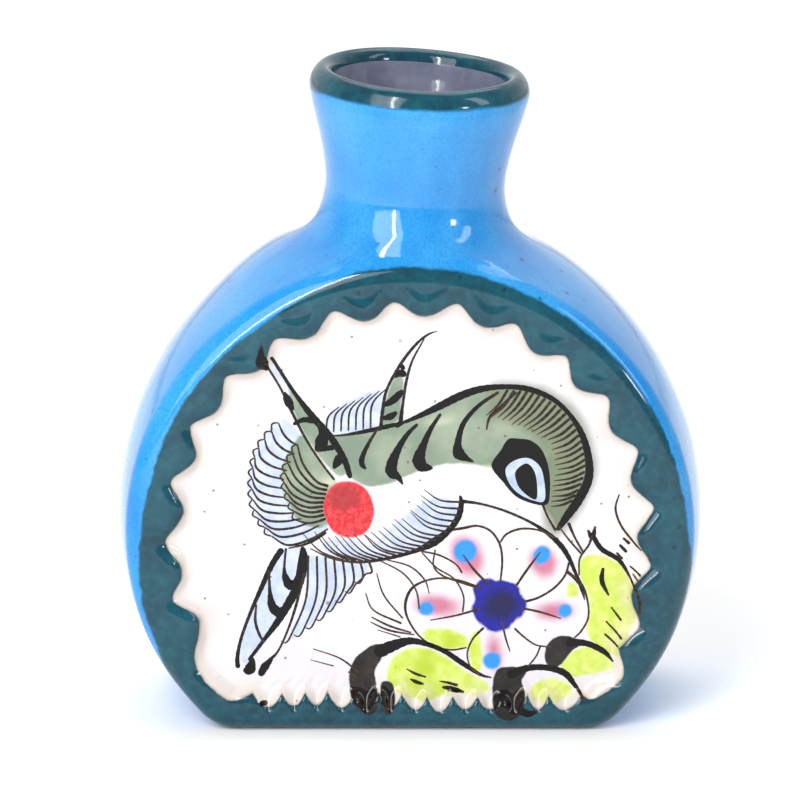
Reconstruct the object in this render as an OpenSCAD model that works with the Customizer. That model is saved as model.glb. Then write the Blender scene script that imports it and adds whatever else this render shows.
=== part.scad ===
// Flask-shaped bud vase of hand-built, painted and glazed clay.
// Millimetres. Origin at the middle of the flat base, +Z up,
// painted front face towards -Y, +X to the viewer's right.

/* [Overall size] */
// Height from the table to the top of the lip, before the neck leans
height = 111.8; // [105:0.2:122]
// Depth from the front face to the back face
depth = 40.5; // [36:0.5:46]
// Radius of the round front and back faces
face_r = 47.8; // [44:0.2:52]
// How far the side strip swells past the faces at mid depth
swell = 2.4; // [0.6:0.2:3.6]
// Height of the centre of the round faces above the table
centre_z = 34.5; // [32:0.1:38]
// Rounding where the side turns into the flat base
corner_r = 8; // [6:0.5:10]

/* [Clay] */
// Thickness of the side strip and of the foot
wall_t = 4; // [3:0.2:5]
// Thickness of the front and back slabs
slab_t = 4; // [3:0.2:5]
// How far the scalloped borders stand above the slabs
border_h = 1.8; // [1:0.1:2.6]
// Width of the foot slab
foot_w = 60; // [48:1:64]

/* [Neck and lip] */
// Outer radius of the neck at its waist
neck_r = 15.2; // [13.5:0.1:16.5]
// Thickness of the neck
neck_t = 3.8; // [3:0.1:4.6]
// Height of the waist of the neck above the table
waist_z = 92; // [90:0.2:94]
// Radius of the hollow curve from neck to shoulder
fillet_r = 8; // [5:0.5:9]
// Outer radius of the lip
lip_r = 18.6; // [17.8:0.1:20]
// Radius of the mouth at the inner edge of the lip
mouth_r = 14.6; // [13.4:0.1:15.4]
// Height of the rolled lip
lip_h = 5; // [4:0.1:5.6]
// How far the hand-set neck stands to the right of the middle
neck_shift = 0.5; // [0:0.1:1]
// Lean of the hand-set neck to the right, in degrees
lean = 2.6; // [0:0.1:3.4]

/* [Scallops] */
// Angle from one scallop to the next round the face
scallop_step = 14.4; // [14:0.1:14.8]
// Radius of the scallops
scallop_r = 6.6; // [6.2:0.1:7]
// How far the scallop tips stay from the face centre
scallop_reach = 38.6; // [37:0.1:39.4]
// Height of the bottom row of scallops above the table
row_z = 5.8; // [5:0.1:7]
// Spacing of the bottom row
row_step = 4.3; // [4.1:0.1:4.5]

/* [Hidden] */

mid_r = face_r + swell;
half_d = depth / 2;
slab_y = half_d - border_h;
strip_y = slab_y - slab_t;
big = 4 * height;
curve_z = centre_z + sqrt(pow(mid_r + fillet_r, 2) - pow(neck_r + fillet_r, 2));
pivot_z = centre_z + mid_r;
bore_r = neck_r - neck_t;
lip_z = height - lip_h;
row_r = 2.3;
round_n = floor(130 / scallop_step);
row_n = 6;
row_tall = 1.6;

// Radius of the swollen side at a depth y
function side_r(y) = face_r + swell * (1 - pow(y / half_d, 2));

// Outer radius of the neck above its waist, inner radius of its bore
function rise(z) = (z - waist_z) / (lip_z - waist_z);
function neck_out(z) = neck_r + (lip_r - 0.3 - neck_r) * pow(rise(z), 1.4);
function neck_in(z) = bore_r + (mouth_r - 0.5 - bore_r) * pow(rise(z), 1.5);

// A round drum lying along Y, from depth y0 to y1, shrunk by inset
module drum(y0, y1, inset) {
  steps = max(2, ceil((y1 - y0) / 2.2));
  side = [for (i = [0:steps]) y0 + (y1 - y0) * i / steps];
  translate([0, 0, centre_z])
    rotate([-90, 0, 0])
      rotate_extrude($fn = 120)
        polygon(concat(
          [[0, y0]],
          [for (y = side) [side_r(y) - inset, y]],
          [[0, y1]]
        ));
}

// Front-view outline of the flat base with its two rounded corners,
// open upwards so that only the drum bounds the sides
module base_cut(inset) {
  rc = corner_r - inset * 0.8;
  r = face_r - inset;
  cz = inset + rc;
  cx = sqrt(pow(r - rc, 2) - pow(centre_z - cz, 2));
  turn = atan2(centre_z - cz, cx);
  right = [
    for (i = [0:8])
      let (a = -90 + (90 - turn) * i / 8)
        [cx + rc * cos(a), cz + rc * sin(a)]
  ];
  out = [for (p = [right[8]]) [p[0] + 80 * sin(turn), p[1] + 80 * cos(turn)]];
  half = concat(right, out, [[out[0][0], big]]);
  polygon(concat(
    half,
    [for (i = [len(half) - 1:-1:0]) [-half[i][0], half[i][1]]]
  ));
}

// The body between depths y0 and y1, shrunk by inset on side and base
module body_band(y0, y1, inset) {
  intersection() {
    drum(y0, y1, inset);
    translate([0, y1 + 1, 0])
      rotate([90, 0, 0])
        linear_extrude(y1 - y0 + 2) base_cut(inset);
  }
}

// Front-view outline of the sunken panel, edged by the scallops
module panel_outline() {
  ring = scallop_reach + scallop_r;
  difference() {
    translate([0, centre_z])
      circle(r = scallop_reach + 4.6, $fn = 120);
    translate([-big / 2, row_z - 3.8 - big])
      square([big, big]);
    for (k = [-round_n:round_n])
      translate([ring * sin(k * scallop_step), centre_z + ring * cos(k * scallop_step)])
        circle(r = scallop_r, $fn = 48);
    for (k = [-row_n:row_n])
      translate([k * row_step, row_z - row_tall * row_r])
        scale([1, row_tall]) circle(r = row_r, $fn = 32);
  }
}

// Sets the neck on its lean about the top of the body
module leaned() {
  translate([neck_shift, 0, pivot_z])
    rotate([0, lean, 0])
      translate([0, 0, -pivot_z]) children();
}

// The neck with its bore, reaching down into the body
module neck_tube() {
  turn = acos((neck_r + fillet_r) / (mid_r + fillet_r));
  skirt = [
    for (i = [0:9])
      let (a = 180 + turn * (1 - i / 9) * 0.9)
        [neck_r + fillet_r + fillet_r * cos(a), curve_z + fillet_r * sin(a)]
  ];
  up = [for (i = [1:6]) waist_z + (lip_z - waist_z) * i / 6];
  rotate_extrude($fn = 120)
    polygon(concat(
      [[bore_r, centre_z + 30], [skirt[0][0], centre_z + 30]],
      skirt,
      [[neck_r, waist_z]],
      [for (z = up) [neck_out(z), z]],
      [for (i = [5:-1:0]) [neck_in(up[i]), up[i]]],
      [[bore_r, waist_z]]
    ));
}

module panel_border() {
  difference() {
    body_band(-half_d, -slab_y, 0);
    translate([0, -slab_y + 1, 0])
      rotate([90, 0, 0])
        linear_extrude(border_h + 2) panel_outline();
  }
}

module front_slab() {
  color("whitesmoke") body_band(-slab_y, -strip_y, 0);
}

module front_border() {
  color("darkslategray") panel_border();
}

module back_slab() {
  color("whitesmoke") body_band(strip_y, slab_y, 0);
}

module back_border() {
  color("darkslategray") mirror([0, 1, 0]) panel_border();
}

module wall_strip() {
  color("dodgerblue") difference() {
    body_band(-strip_y, strip_y, 0);
    body_band(-strip_y - 1, strip_y + 1, wall_t);
    translate([-foot_w / 2, -half_d, -1])
      cube([foot_w, depth, wall_t + 2]);
    leaned() translate([0, 0, centre_z + 30])
      cylinder(r = bore_r, h = 40, $fn = 120);
  }
}

module foot_slab() {
  color("tan") translate([-foot_w / 2, -strip_y, 0])
    cube([foot_w, 2 * strip_y, wall_t]);
}

module neck_collar() {
  color("deepskyblue") intersection() {
    difference() {
      leaned() neck_tube();
      drum(-half_d - 3, half_d + 3, 0);
    }
    translate([-big / 2, -half_d, centre_z])
      cube([big, depth, big]);
  }
}

module lip_coil() {
  color("teal") leaned() rotate_extrude($fn = 120)
    polygon([
      [neck_in(lip_z), lip_z],
      [neck_out(lip_z), lip_z],
      [lip_r - 0.1, lip_z + 0.5],
      [lip_r, lip_z + 1.2],
      [lip_r - 0.1, lip_z + 2.2],
      [lip_r - 0.5, height - 1.6],
      [lip_r - 1.1, height - 0.7],
      [lip_r - 1.8, height - 0.15],
      [lip_r - 2.4, height],
      [lip_r - 3, height - 0.1],
      [mouth_r + 0.4, height - 0.6],
      [mouth_r + 0.1, height - 1.2],
      [mouth_r - 0.1, height - 2.2]
    ]);
}

front_slab();
front_border();
back_slab();
back_border();
wall_strip();
foot_slab();
neck_collar();
lip_coil();
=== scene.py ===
"""Flask-shaped bud vase: glazed skin, moulded borders and painted faces."""

import math

import bmesh
import bpy
import numpy as np
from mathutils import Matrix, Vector
from mathutils.bvhtree import BVHTree
from mathutils.geometry import delaunay_2d_cdt


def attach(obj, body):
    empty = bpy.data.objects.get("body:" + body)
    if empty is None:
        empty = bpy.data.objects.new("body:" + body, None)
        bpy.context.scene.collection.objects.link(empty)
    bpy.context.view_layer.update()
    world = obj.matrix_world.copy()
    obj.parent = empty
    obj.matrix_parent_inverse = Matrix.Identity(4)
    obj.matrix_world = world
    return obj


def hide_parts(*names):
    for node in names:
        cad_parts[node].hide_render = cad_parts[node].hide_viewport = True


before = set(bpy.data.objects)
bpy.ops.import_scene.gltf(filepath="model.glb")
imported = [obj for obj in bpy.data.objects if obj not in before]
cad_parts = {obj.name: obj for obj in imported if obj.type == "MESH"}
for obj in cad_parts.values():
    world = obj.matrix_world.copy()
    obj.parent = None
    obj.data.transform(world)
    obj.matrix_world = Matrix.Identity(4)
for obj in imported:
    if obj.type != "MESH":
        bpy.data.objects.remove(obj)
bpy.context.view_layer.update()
SCENE = bpy.context.scene
MM = 0.001


def in_scene(name, data):
    """A new object of the scene."""
    obj = bpy.data.objects.new(name, data)
    SCENE.collection.objects.link(obj)
    return obj



# ---------------------------------------------------------------- sizes, mm
HEIGHT = 111.8  # top of the lip before the neck leans
HALF_D = 20.25  # half the depth, to the flat of each face
FACE_R = 47.8  # radius of the round faces
SWELL = 2.4  # how far the side wall bulges past the faces
ZC = 34.5  # height of the faces' centre
CORNER = 8.0  # radius of the corners at the base
EDGE = 3.1  # radius of the rolled edge round each face
PIVOT_Z = FACE_R + SWELL + ZC  # the neck leans about this height
LEAN = math.radians(2.6)
NECK_SHIFT = 0.5  # the neck stands this far right of the middle
NECK_R = 15.1  # neck at its narrowest
NECK_TOP_R = 18.4  # neck where the lip starts
LIP_Z = 107.0
RING_Z = 97.0  # height of the ring where the neck's patch meets its upper part
PANEL_DEPTH = 1.7  # how far the panels are sunk
FLOOR_Z = 4.5  # inside bottom

# points along a face's outline: base, each corner, round part
N_BASE, N_CORNER, N_ROUND = 150, 20, 530


def smoothstep(a, b, x):
    """0 at a, 1 at b, and smooth between them."""
    t = np.clip((x - a) / (b - a), 0.0, 1.0)
    return t * t * (3.0 - 2.0 * t)


def waves(t, seed, terms=5, first=1):
    """A smooth closed wobble, about -1 to 1, over a turn t in 0..1."""
    r = np.random.default_rng(seed)
    out = np.zeros_like(t)
    for k in range(first, first + terms):
        out += r.normal() * np.sin(2 * np.pi * (k * t + r.random())) / math.sqrt(k)
    return out / 2.2


# ------------------------------------------------------- the body's shape
def outline(inset):
    """Closed front-view outline, inset from the face's edge, and its normals.
    It runs along the base to the right, then up and over to the left."""
    r, rc, z0 = FACE_R - inset, max(CORNER - inset, 0.01), inset
    cz = z0 + rc
    cx = math.sqrt((r - rc) ** 2 - (ZC - cz) ** 2)
    a = math.atan2(cz - ZC, cx)
    base = np.linspace(-cx, cx, N_BASE, endpoint=False)
    p = [np.stack([base, np.full_like(base, z0)], 1)]
    n = [np.tile([0.0, -1.0], (N_BASE, 1))]
    t = np.linspace(-math.pi / 2, a, N_CORNER, endpoint=False)
    d = np.stack([np.cos(t), np.sin(t)], 1)
    p.append(d * rc + [cx, cz])
    n.append(d)
    t = np.linspace(a, math.pi - a, N_ROUND, endpoint=False)
    d = np.stack([np.cos(t), np.sin(t)], 1)
    p.append(d * r + [0, ZC])
    n.append(d)
    t = np.linspace(math.pi - a, 1.5 * math.pi, N_CORNER, endpoint=False)
    d = np.stack([np.cos(t), np.sin(t)], 1)
    p.append(d * rc + [-cx, cz])
    n.append(d)
    return np.concatenate(p), np.concatenate(n)


def edge_distance(x, z):
    """Signed distance to the face's outline in front view, inside negative."""
    r, cz = FACE_R - CORNER, CORNER
    cx = math.sqrt(r * r - (ZC - cz) ** 2)
    dc = np.hypot(x, z - ZC) - r
    dp = cz - z
    blend = 4.0
    h = np.maximum(blend - np.abs(dc - dp), 0) / blend
    sharp = np.maximum(dc, dp)
    d = np.where((dc < 0) & (dp < 0), np.minimum(sharp + h * h * blend / 4, 0), sharp)
    qx, qz = np.abs(x) - cx, z - cz
    n1x, n1z = cx / r, (cz - ZC) / r
    wedge = (qx >= 0) & (qx * n1z - qz * n1x >= 0)
    return np.where(wedge, np.hypot(qx, qz), d) - CORNER


def spline(points, n):
    """Catmull-Rom through the points, n samples evenly along its length."""
    p = np.asarray(points, float)
    p = np.concatenate([[2 * p[0] - p[1]], p, [2 * p[-1] - p[-2]]])
    out = []
    for i in range(1, len(p) - 2):
        t = np.linspace(0, 1, 24, endpoint=False)[:, None]
        a, b, c, d = p[i - 1], p[i], p[i + 1], p[i + 2]
        cubic = (2 * a - 5 * b + 4 * c - d) * t * t + (3 * b - a - 3 * c + d) * t**3
        out.append(0.5 * (2 * b + (c - a) * t + cubic))
    out = np.concatenate(out + [p[-2:-1]])
    d = np.concatenate([[0], np.cumsum(np.linalg.norm(np.diff(out, axis=0), axis=1))])
    if np.isscalar(n):
        n = np.linspace(0, d[-1], n)
    return np.stack([np.interp(n, d, out[:, i]) for i in range(out.shape[1])], 1)


NECK_PROFILE = spline(
    [(60, NECK_R), (87, NECK_R), (92, NECK_R + 0.05), (96, 15.7), (100, 16.55), (103, 17.4), (105.2, 18.0),
     (LIP_Z, NECK_TOP_R)],
    200,
)


def neck_radius(z):
    """Radius of the neck at a height in its own frame."""
    return np.interp(z, NECK_PROFILE[:, 0], NECK_PROFILE[:, 1])


def neck_local(p):
    """Point in the upright frame of the leaning neck."""
    c, s = math.cos(LEAN), math.sin(LEAN)
    x, z = p[..., 0] - NECK_SHIFT, p[..., 2] - PIVOT_Z
    return x * c - z * s, p[..., 1], PIVOT_Z + x * s + z * c


def neck_world(x, y, z):
    """The opposite of neck_local."""
    c, s = math.cos(LEAN), math.sin(LEAN)
    h = z - PIVOT_Z
    return np.stack([NECK_SHIFT + x * c + h * s, y, PIVOT_Z - x * s + h * c], -1)


def wobble(phi):
    """Hand-made unevenness of the neck's roundness."""
    return 1 + 0.006 * np.cos(2 * phi - 0.6) + 0.004 * np.cos(3 * phi + 1.0)


def shoulder(x, y, z):
    """The clay piled up a little on each side of the neck, more on the left."""
    hump = np.exp(-(((np.abs(x) - 23) / 9.0) ** 2)) * np.where(x < 0, 1.3, 0.5)
    return hump * smoothstep(ZC + 10, ZC + 30, z) * smoothstep(-HALF_D, 4, y)


def field(p):
    """Distance-like field of body and neck, negative inside."""
    x, y, z = p[..., 0], p[..., 1], p[..., 2]
    grow = SWELL * smoothstep(-1, 17, z) * (1 - (y / HALF_D) ** 2) + shoulder(x, y, z)
    a = edge_distance(x, z) - grow + EDGE
    b = np.abs(y) - HALF_D + EDGE
    body = np.minimum(np.maximum(a, b), 0) + np.hypot(np.maximum(a, 0), np.maximum(b, 0)) - EDGE
    nx, ny, nz = neck_local(p)
    rr = np.hypot(nx, ny)
    neck = rr - neck_radius(nz) * wobble(np.arctan2(ny, nx))
    neck = np.where(nz > 66, neck, neck + (66 - nz))
    # the fillet is wide over the shoulders and narrow towards the faces
    off_face = smoothstep(HALF_D, HALF_D - 4.0, np.abs(y))
    fillet = 4.8 + 9.4 * np.maximum(nx * nx / (rr * rr + 1e-9), 0.95 * off_face)
    h = np.maximum(fillet - np.abs(body - neck), 0) / fillet
    return np.minimum(body, neck) - h**3 * fillet / 6


def gradient(p, h=2e-3):
    g = np.empty_like(p)
    for i in range(3):
        d = np.zeros(3)
        d[i] = h
        g[..., i] = (field(p + d) - field(p - d)) / (2 * h)
    return g


def settle(p, rounds=12):
    """Moves points along the gradient onto the surface."""
    p = p.copy()
    for _ in range(rounds):
        g = gradient(p)
        step = field(p) / np.maximum((g * g).sum(-1), 0.25)
        p -= np.clip(step, -1.5, 1.5)[..., None] * g
    return p


# --------------------------------------------------- the moulded borders
SCALLOP_STEP = 14.4  # degrees between scallops round the face
TONGUE_STEP = 4.25  # mm between the tongues along the base
TONGUE_START = -26.7
TONGUE_Z = 8.0


def scallops(seed, offset):
    """Polar angles of the scallops' middles, clockwise from the top, and their lengths' unevenness."""
    r = np.random.default_rng(seed)
    ang = [k * SCALLOP_STEP + offset for k in range(-8, 9)]
    for k in range(14):
        ang.append(math.degrees(math.atan2(TONGUE_STEP * k + TONGUE_START, TONGUE_Z - ZC)) % 360)
    ang = np.array(sorted(a % 360 for a in ang))
    ang += r.normal(0, 0.45, len(ang))
    lift = r.normal(0, 0.28, len(ang))
    return ang, lift


def rounded_dip(c, soft):
    """1 between two scallops and 0 at the middle of one, where c is 1, with its crease rounded off."""
    return 1 - (np.sqrt(c * c + soft**2) - soft) / (np.sqrt(1 + soft**2) - soft)


class Relief:
    """Depth of a face below its border, from the scalloped edge inwards."""

    BORDER = 9.0  # width of the border at a scallop
    LOW_BORDER = 2.2  # how much narrower it is along the base
    SLOPE = 2.4  # width of the slope down to the panel at a scallop
    SCOOP = 0.52  # hollow at the foot of the slope, between scallops
    CROWN = -0.3  # rise of the border just outside a scallop

    def __init__(self, seed, offset):
        self.ang, self.lift = scallops(seed, offset)
        self.seed = seed

    def phase(self, x, z):
        """Place along the scallops, counted in scallops, the local unevenness, and the turn in 0..1."""
        th = np.degrees(np.arctan2(x, np.maximum(z, TONGUE_Z) - ZC)) % 360
        a = np.concatenate([[self.ang[-1] - 360], self.ang, [self.ang[0] + 360]])
        k = np.arange(-1, len(self.ang) + 1)
        ph = np.interp(th, a, k)
        lift = np.interp(ph, k, np.concatenate([self.lift[-1:], self.lift, self.lift[:1]]))
        return ph, lift, th / 360

    def glaze_line(self, ph, turn, c, low, inner):
        """Distance from the outline at which the border's glaze ends."""
        dip = rounded_dip(c, 0.52 + 0.1 * waves(turn, self.seed + 3, 3))
        uneven = 1 + 0.22 * waves(turn, self.seed + 8, 9, 5)
        off = np.abs((ph % 1) - 0.5)
        low_dip = 0.72 * (1 - (2 * off) ** 2.4) + 0.28 * np.cos(np.pi * off) ** 2
        dip = dip * (1 - low) + low_dip * low
        return inner - 0.1 - (2.7 - 0.2 * low) * dip * uneven

    def __call__(self, x, z):
        """(depth, inward distance past the glaze boundary)"""
        v = -edge_distance(x, z)
        ph, lift, turn = self.phase(x, z)
        c = np.abs(np.cos(np.pi * ph))
        low = smoothstep(22, 10, z)
        inner = self.BORDER + lift + 0.35 * waves(turn, self.seed, 5) - self.LOW_BORDER * low
        dip = rounded_dip(c, 0.42)
        start = inner - 1.3 - (3.5 - 0.5 * low) * dip
        t = np.clip((v - start) / (self.SLOPE + 3.6 * dip), 0, 1)
        depth = PANEL_DEPTH * t**3 * (10 - 15 * t + 6 * t * t)
        scoop = self.SCOOP * dip * np.exp(-(((v - start - 2.6) / 1.7) ** 2))
        crown = self.CROWN * (1 - dip) * np.exp(-(((v - start + 1.1) / 1.4) ** 2))
        depth += (scoop + crown) * smoothstep(1.6, 3.6, v)
        return depth, v - self.glaze_line(ph, turn, c, low, inner)


FRONT = Relief(11, 3.3)
BACK = Relief(29, -1.5)

# ------------------------------------------------------- one closed skin
verts, quads, tris = [], {}, {}
count = 0


def add(points):
    """Adds an array of points and returns their numbers, in its shape."""
    global count
    flat = np.asarray(points, float).reshape(-1, 3)
    ids = np.arange(count, count + len(flat)).reshape(np.asarray(points).shape[:-1])
    verts.append(flat)
    count += len(flat)
    return ids


def strip(piece, ids, wrap=False):
    """Quads of a grid of point numbers, closed along its second axis if wrap."""
    if wrap:
        ids = np.concatenate([ids, ids[:, :1]], 1)
    q = np.stack([ids[:-1, :-1], ids[:-1, 1:], ids[1:, 1:], ids[1:, :-1]], -1).reshape(-1, 4)
    quads.setdefault(piece, []).append(q)


rim_xz, rim_n = outline(0.0)
NU = len(rim_xz)
turn_u = np.arange(NU) / NU
ARC = EDGE * math.pi / 2


def around(q):
    """Guess for the rolled edge and the side: q mm on from the front's flat."""
    beta = np.clip(q / EDGE, 0, math.pi / 2)
    y = -HALF_D + EDGE * (1 - np.cos(beta)) + np.maximum(q - ARC, 0)
    swell = SWELL * smoothstep(-1, 17, rim_xz[:, 1]) * (1 - (y / HALF_D) ** 2)
    v = -EDGE * (1 - np.sin(beta)) + swell * np.sin(beta)
    xz = rim_xz + rim_n * v[:, None]
    return np.stack([xz[:, 0], y, xz[:, 1]], 1)


WRAP = 14  # rings over the rolled edge
PANEL_ROWS = 44  # rings from the outline to the panel's inner loop
GAP = 0.46  # spacing of the points inside that loop


def face(piece, side, relief, seed):
    """The painted face, its border and its rolled edge, out to the side glaze.
    Returns the outermost ring's numbers."""
    outer = outline(EDGE)[0]
    # an inner loop well inside the relief, with the same number of points
    centre = np.array([0.0, ZC - 1.0])
    loop = (outline(6.0)[0] - centre) * 0.72 + centre
    s = np.linspace(0, 1, PANEL_ROWS) ** 0.9
    xz = outer[None] * (1 - s)[:, None, None] + loop[None] * s[:, None, None]
    rings = np.stack([xz[..., 0], np.full(xz.shape[:2], -HALF_D), xz[..., 1]], -1)
    over = ARC - 0.2 + 0.32 * waves(turn_u, seed, 9, 2)
    wrap = np.stack([around(over * t) for t in np.linspace(0, 1, WRAP + 1)[1:]])
    both = np.concatenate([rings[::-1], wrap])
    both[-WRAP:] = settle(both[-WRAP:], 14)
    x, y, z = both[..., 0], both[..., 1], both[..., 2]
    flat_part = np.where(y < -HALF_D + 0.02, 1.0, 0.0)
    y += relief(x, z)[0] * flat_part * smoothstep(EDGE - 0.2, EDGE + 1.2, -edge_distance(x, z))
    y *= side
    ids = add(both)
    strip(piece, ids, wrap=True)
    # fine even fill inside the inner loop
    n = int(90 / GAP)
    gx, gz = np.meshgrid(np.arange(n) * GAP - 45, np.arange(n) * GAP * 0.866)
    gx[1::2] += GAP / 2
    gx, gz = gx.ravel(), gz.ravel()
    keep = inside(gx, gz, loop, 0.3)
    gx, gz = gx[keep], gz[keep]
    pts = np.concatenate([loop, np.stack([gx, gz], 1)])
    _, _, cells, sources, *_ = delaunay_2d_cdt([Vector(p) for p in pts], [], [list(range(NU))], 1, 1e-7)
    source = np.array([o[0] if o else -1 for o in sources])
    table = np.concatenate([ids[0], add(np.stack([gx, side * (-HALF_D + relief(gx, gz)[0]), gz], 1))])
    cells = np.array([f for f in cells if len(f) == 3])
    tris.setdefault(piece, []).append(table[source[cells]])
    return ids[-1]


def inside(x, z, loop, margin):
    """Which points lie in a loop that is star-shaped about its middle."""
    cx, cz = loop.mean(0)
    a = np.arctan2(loop[:, 1] - cz, loop[:, 0] - cx)
    r = np.hypot(loop[:, 0] - cx, loop[:, 1] - cz)
    order = np.argsort(a)
    limit = np.interp(np.arctan2(z - cz, x - cx), a[order], r[order], period=2 * np.pi)
    return np.hypot(x - cx, z - cz) < limit - margin


front_ring = face("front_face", 1, FRONT, 5)
back_ring = face("back_face", -1, BACK, 6)
so_far = np.concatenate(verts)
ROWS = 58  # rings across the side, with both ends
part = np.linspace(0, 1, ROWS)[1:-1, None]
side_pts = []
for y in so_far[front_ring, 1] * (1 - part) + so_far[back_ring, 1] * part:
    swell = SWELL * smoothstep(-1, 17, rim_xz[:, 1]) * (1 - (y / HALF_D) ** 2)
    xz = rim_xz + rim_n * swell[:, None]
    side_pts.append(np.stack([xz[:, 0], y, xz[:, 1]], 1))
PATCH_HALF = 27.0  # the neck's patch takes the top, this far to each side
top = (rim_xz[:, 1] > ZC) & (np.abs(rim_xz[:, 0]) <= PATCH_HALF)
first, last = np.where(top)[0][[0, -1]]
side_fixed = settle(np.array(side_pts), 10)
keep_cols = np.concatenate([np.arange(last, NU), np.arange(0, first + 1)])
side_ids = np.full((ROWS, NU), -1)
side_ids[0], side_ids[-1] = front_ring, back_ring
side_ids[1:-1][:, keep_cols] = add(side_fixed[:, keep_cols])
foot_cols = np.arange(2, N_BASE - 1)
wall_a = np.arange(N_BASE - 2, first + 1)
wall_b = np.concatenate([np.arange(last, NU), np.arange(0, 3)])
strip("foot", side_ids[:, foot_cols])
strip("side_wall", side_ids[:, wall_a])
strip("side_wall", side_ids[:, wall_b])

# neck: rays from a ring on the neck out to the patch's edge
top_cols = slice(first, last + 1)
edge_loop = np.concatenate(
    [side_ids[0, top_cols], side_ids[1:-1, last], side_ids[-1, top_cols][::-1], side_ids[1:-1, first][::-1]]
)
E = np.concatenate(verts)[edge_loop]
NA = len(E)
phi = np.arctan2(E[:, 1], E[:, 0])
around_neck = np.stack([np.cos(phi), np.sin(phi)], 1)
nr = neck_radius(np.full(NA, RING_Z)) * wobble(phi)
A = neck_world(nr * np.cos(phi), nr * np.sin(phi), np.full(NA, RING_Z))
bend_xy = around_neck * np.minimum(NECK_R + 1.2, np.hypot(E[:, 0], E[:, 1]) - 0.3)[:, None]
bend_z = np.maximum(E[:, 2], ZC + np.sqrt((FACE_R + 1.5) ** 2 - bend_xy[:, 0] ** 2)) + 0.5
C = np.concatenate([bend_xy, bend_z[:, None]], 1)
s = np.linspace(0, 1, 46)[:, None, None]
patch = (1 - s) ** 2 * A + 2 * s * (1 - s) * C + s * s * E
patch[1:-1] = settle(patch[1:-1], 16)
patch_ids = np.concatenate([add(patch[:-1]), edge_loop[None]])
strip("neck", patch_ids, wrap=True)


def ring_at(r, z):
    """A ring of the leaning neck, a little uneven towards the lip."""
    up = smoothstep(94, 109, z)
    dz = up * (0.28 * np.cos(phi - 2.3) + 0.16 * np.cos(2 * phi + 0.4) + 0.1 * np.cos(3 * phi))
    rr = r * wobble(phi) + up * 0.12 * np.cos(4 * phi + 1.2)
    return neck_world(rr * np.cos(phi), rr * np.sin(phi), z + dz)


neck_ids = add(np.stack([ring_at(neck_radius(z), z) for z in np.linspace(RING_Z, LIP_Z, 26)[1:]]))
strip("neck", np.concatenate([patch_ids[:1], neck_ids]), wrap=True)

LIP_END = (14.5, 109.8)  # radius and height where the lip turns into the bore
lip_profile = spline(
    [(NECK_TOP_R, LIP_Z), (18.6, 108.0), (18.55, 109.2), (18.1, 110.4), (17.3, 111.4), (16.4, HEIGHT),
     (15.5, 111.5), (14.8, 110.8), LIP_END],
    26,
)[1:]
lip_ids = add(np.stack([ring_at(r, z) for r, z in lip_profile]))
strip("lip", np.concatenate([neck_ids[-1:], lip_ids]), wrap=True)

BORE_R = 11.4
BELLY_R = 43.4  # the inside's round, seen from the front
bore = spline([LIP_END, (14.2, 107.5), (13.4, 103.5), (12.3, 98.0), (11.5, 93.0), (BORE_R, 86.0)], 40)[1:]
liner = [ring_at(r, z) for r, z in bore]
for z in np.concatenate([np.linspace(85, 72, 14), np.linspace(69, 8, 20), [6.2, 5.2, 4.7, FLOOR_Z]]):
    open_up = float(smoothstep(86, 72, z))
    full = math.sqrt(max(BELLY_R**2 - (z - ZC) ** 2, 0)) if z > 9 else 36 + (z - 9) * 0.9
    a = BORE_R * (1 - open_up) + full * open_up
    b = BORE_R + 1.2 * open_up
    close = 1 if z > 6 else 0.96 - 0.1 * (6 - z)
    e = 1 + 0.9 * open_up
    c, sn = np.cos(phi), np.sin(phi)
    squarish = (np.abs(c) ** (2 * e) + np.abs(sn) ** (2 * e)) ** (-1 / (2 * e))
    liner.append(np.stack([a * close * c * squarish, b * close * sn * squarish, np.full(NA, z)], 1))
for f in (0.7, 0.4, 0.1):
    liner.append(liner[-1] * (f, f, 1))
liner_ids = add(np.stack(liner))
strip("liner", np.concatenate([lip_ids[-1:], liner_ids]), wrap=True)
mid = add(np.array([[0.0, 0.0, FLOOR_Z]]))
cap = np.stack([np.roll(liner_ids[-1], -1), liner_ids[-1], np.full(NA, mid[0])], 1)
tris["liner"] = [cap]

ALL = np.concatenate(verts)


def face_out():
    """Turns every group of faces the right way round."""
    for groups, diag in ((quads, ((2, 0), (3, 1))), (tris, ((1, 0), (2, 0)))):
        for name, parts in groups.items():
            for i, q in enumerate(parts):
                (a, b), (c, d) = diag
                n = np.cross(ALL[q[:, a]] - ALL[q[:, b]], ALL[q[:, c]] - ALL[q[:, d]])
                mid = ALL[q].mean(1)
                if name != "liner":
                    want = gradient(mid)
                elif groups is tris:
                    want = np.array([0.0, 0.0, 1.0])
                else:
                    want = (np.array([0.0, 0.0, 40.0]) - mid) * (1, 1, 0.05)
                if (n * want).sum() < 0:
                    parts[i] = q[:, ::-1]


face_out()


def all_normals():
    """Smooth normals over the whole skin, so pieces join without a seam."""
    n = np.zeros_like(ALL)
    for group in quads.values():
        for q in group:
            c = np.cross(ALL[q[:, 2]] - ALL[q[:, 0]], ALL[q[:, 3]] - ALL[q[:, 1]])
            for k in range(4):
                np.add.at(n, q[:, k], c)
    for group in tris.values():
        for q in group:
            c = np.cross(ALL[q[:, 1]] - ALL[q[:, 0]], ALL[q[:, 2]] - ALL[q[:, 0]])
            for k in range(3):
                np.add.at(n, q[:, k], c)
    return n / np.maximum(np.linalg.norm(n, axis=1, keepdims=True), 1e-12)


NORMALS = all_normals()


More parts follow.
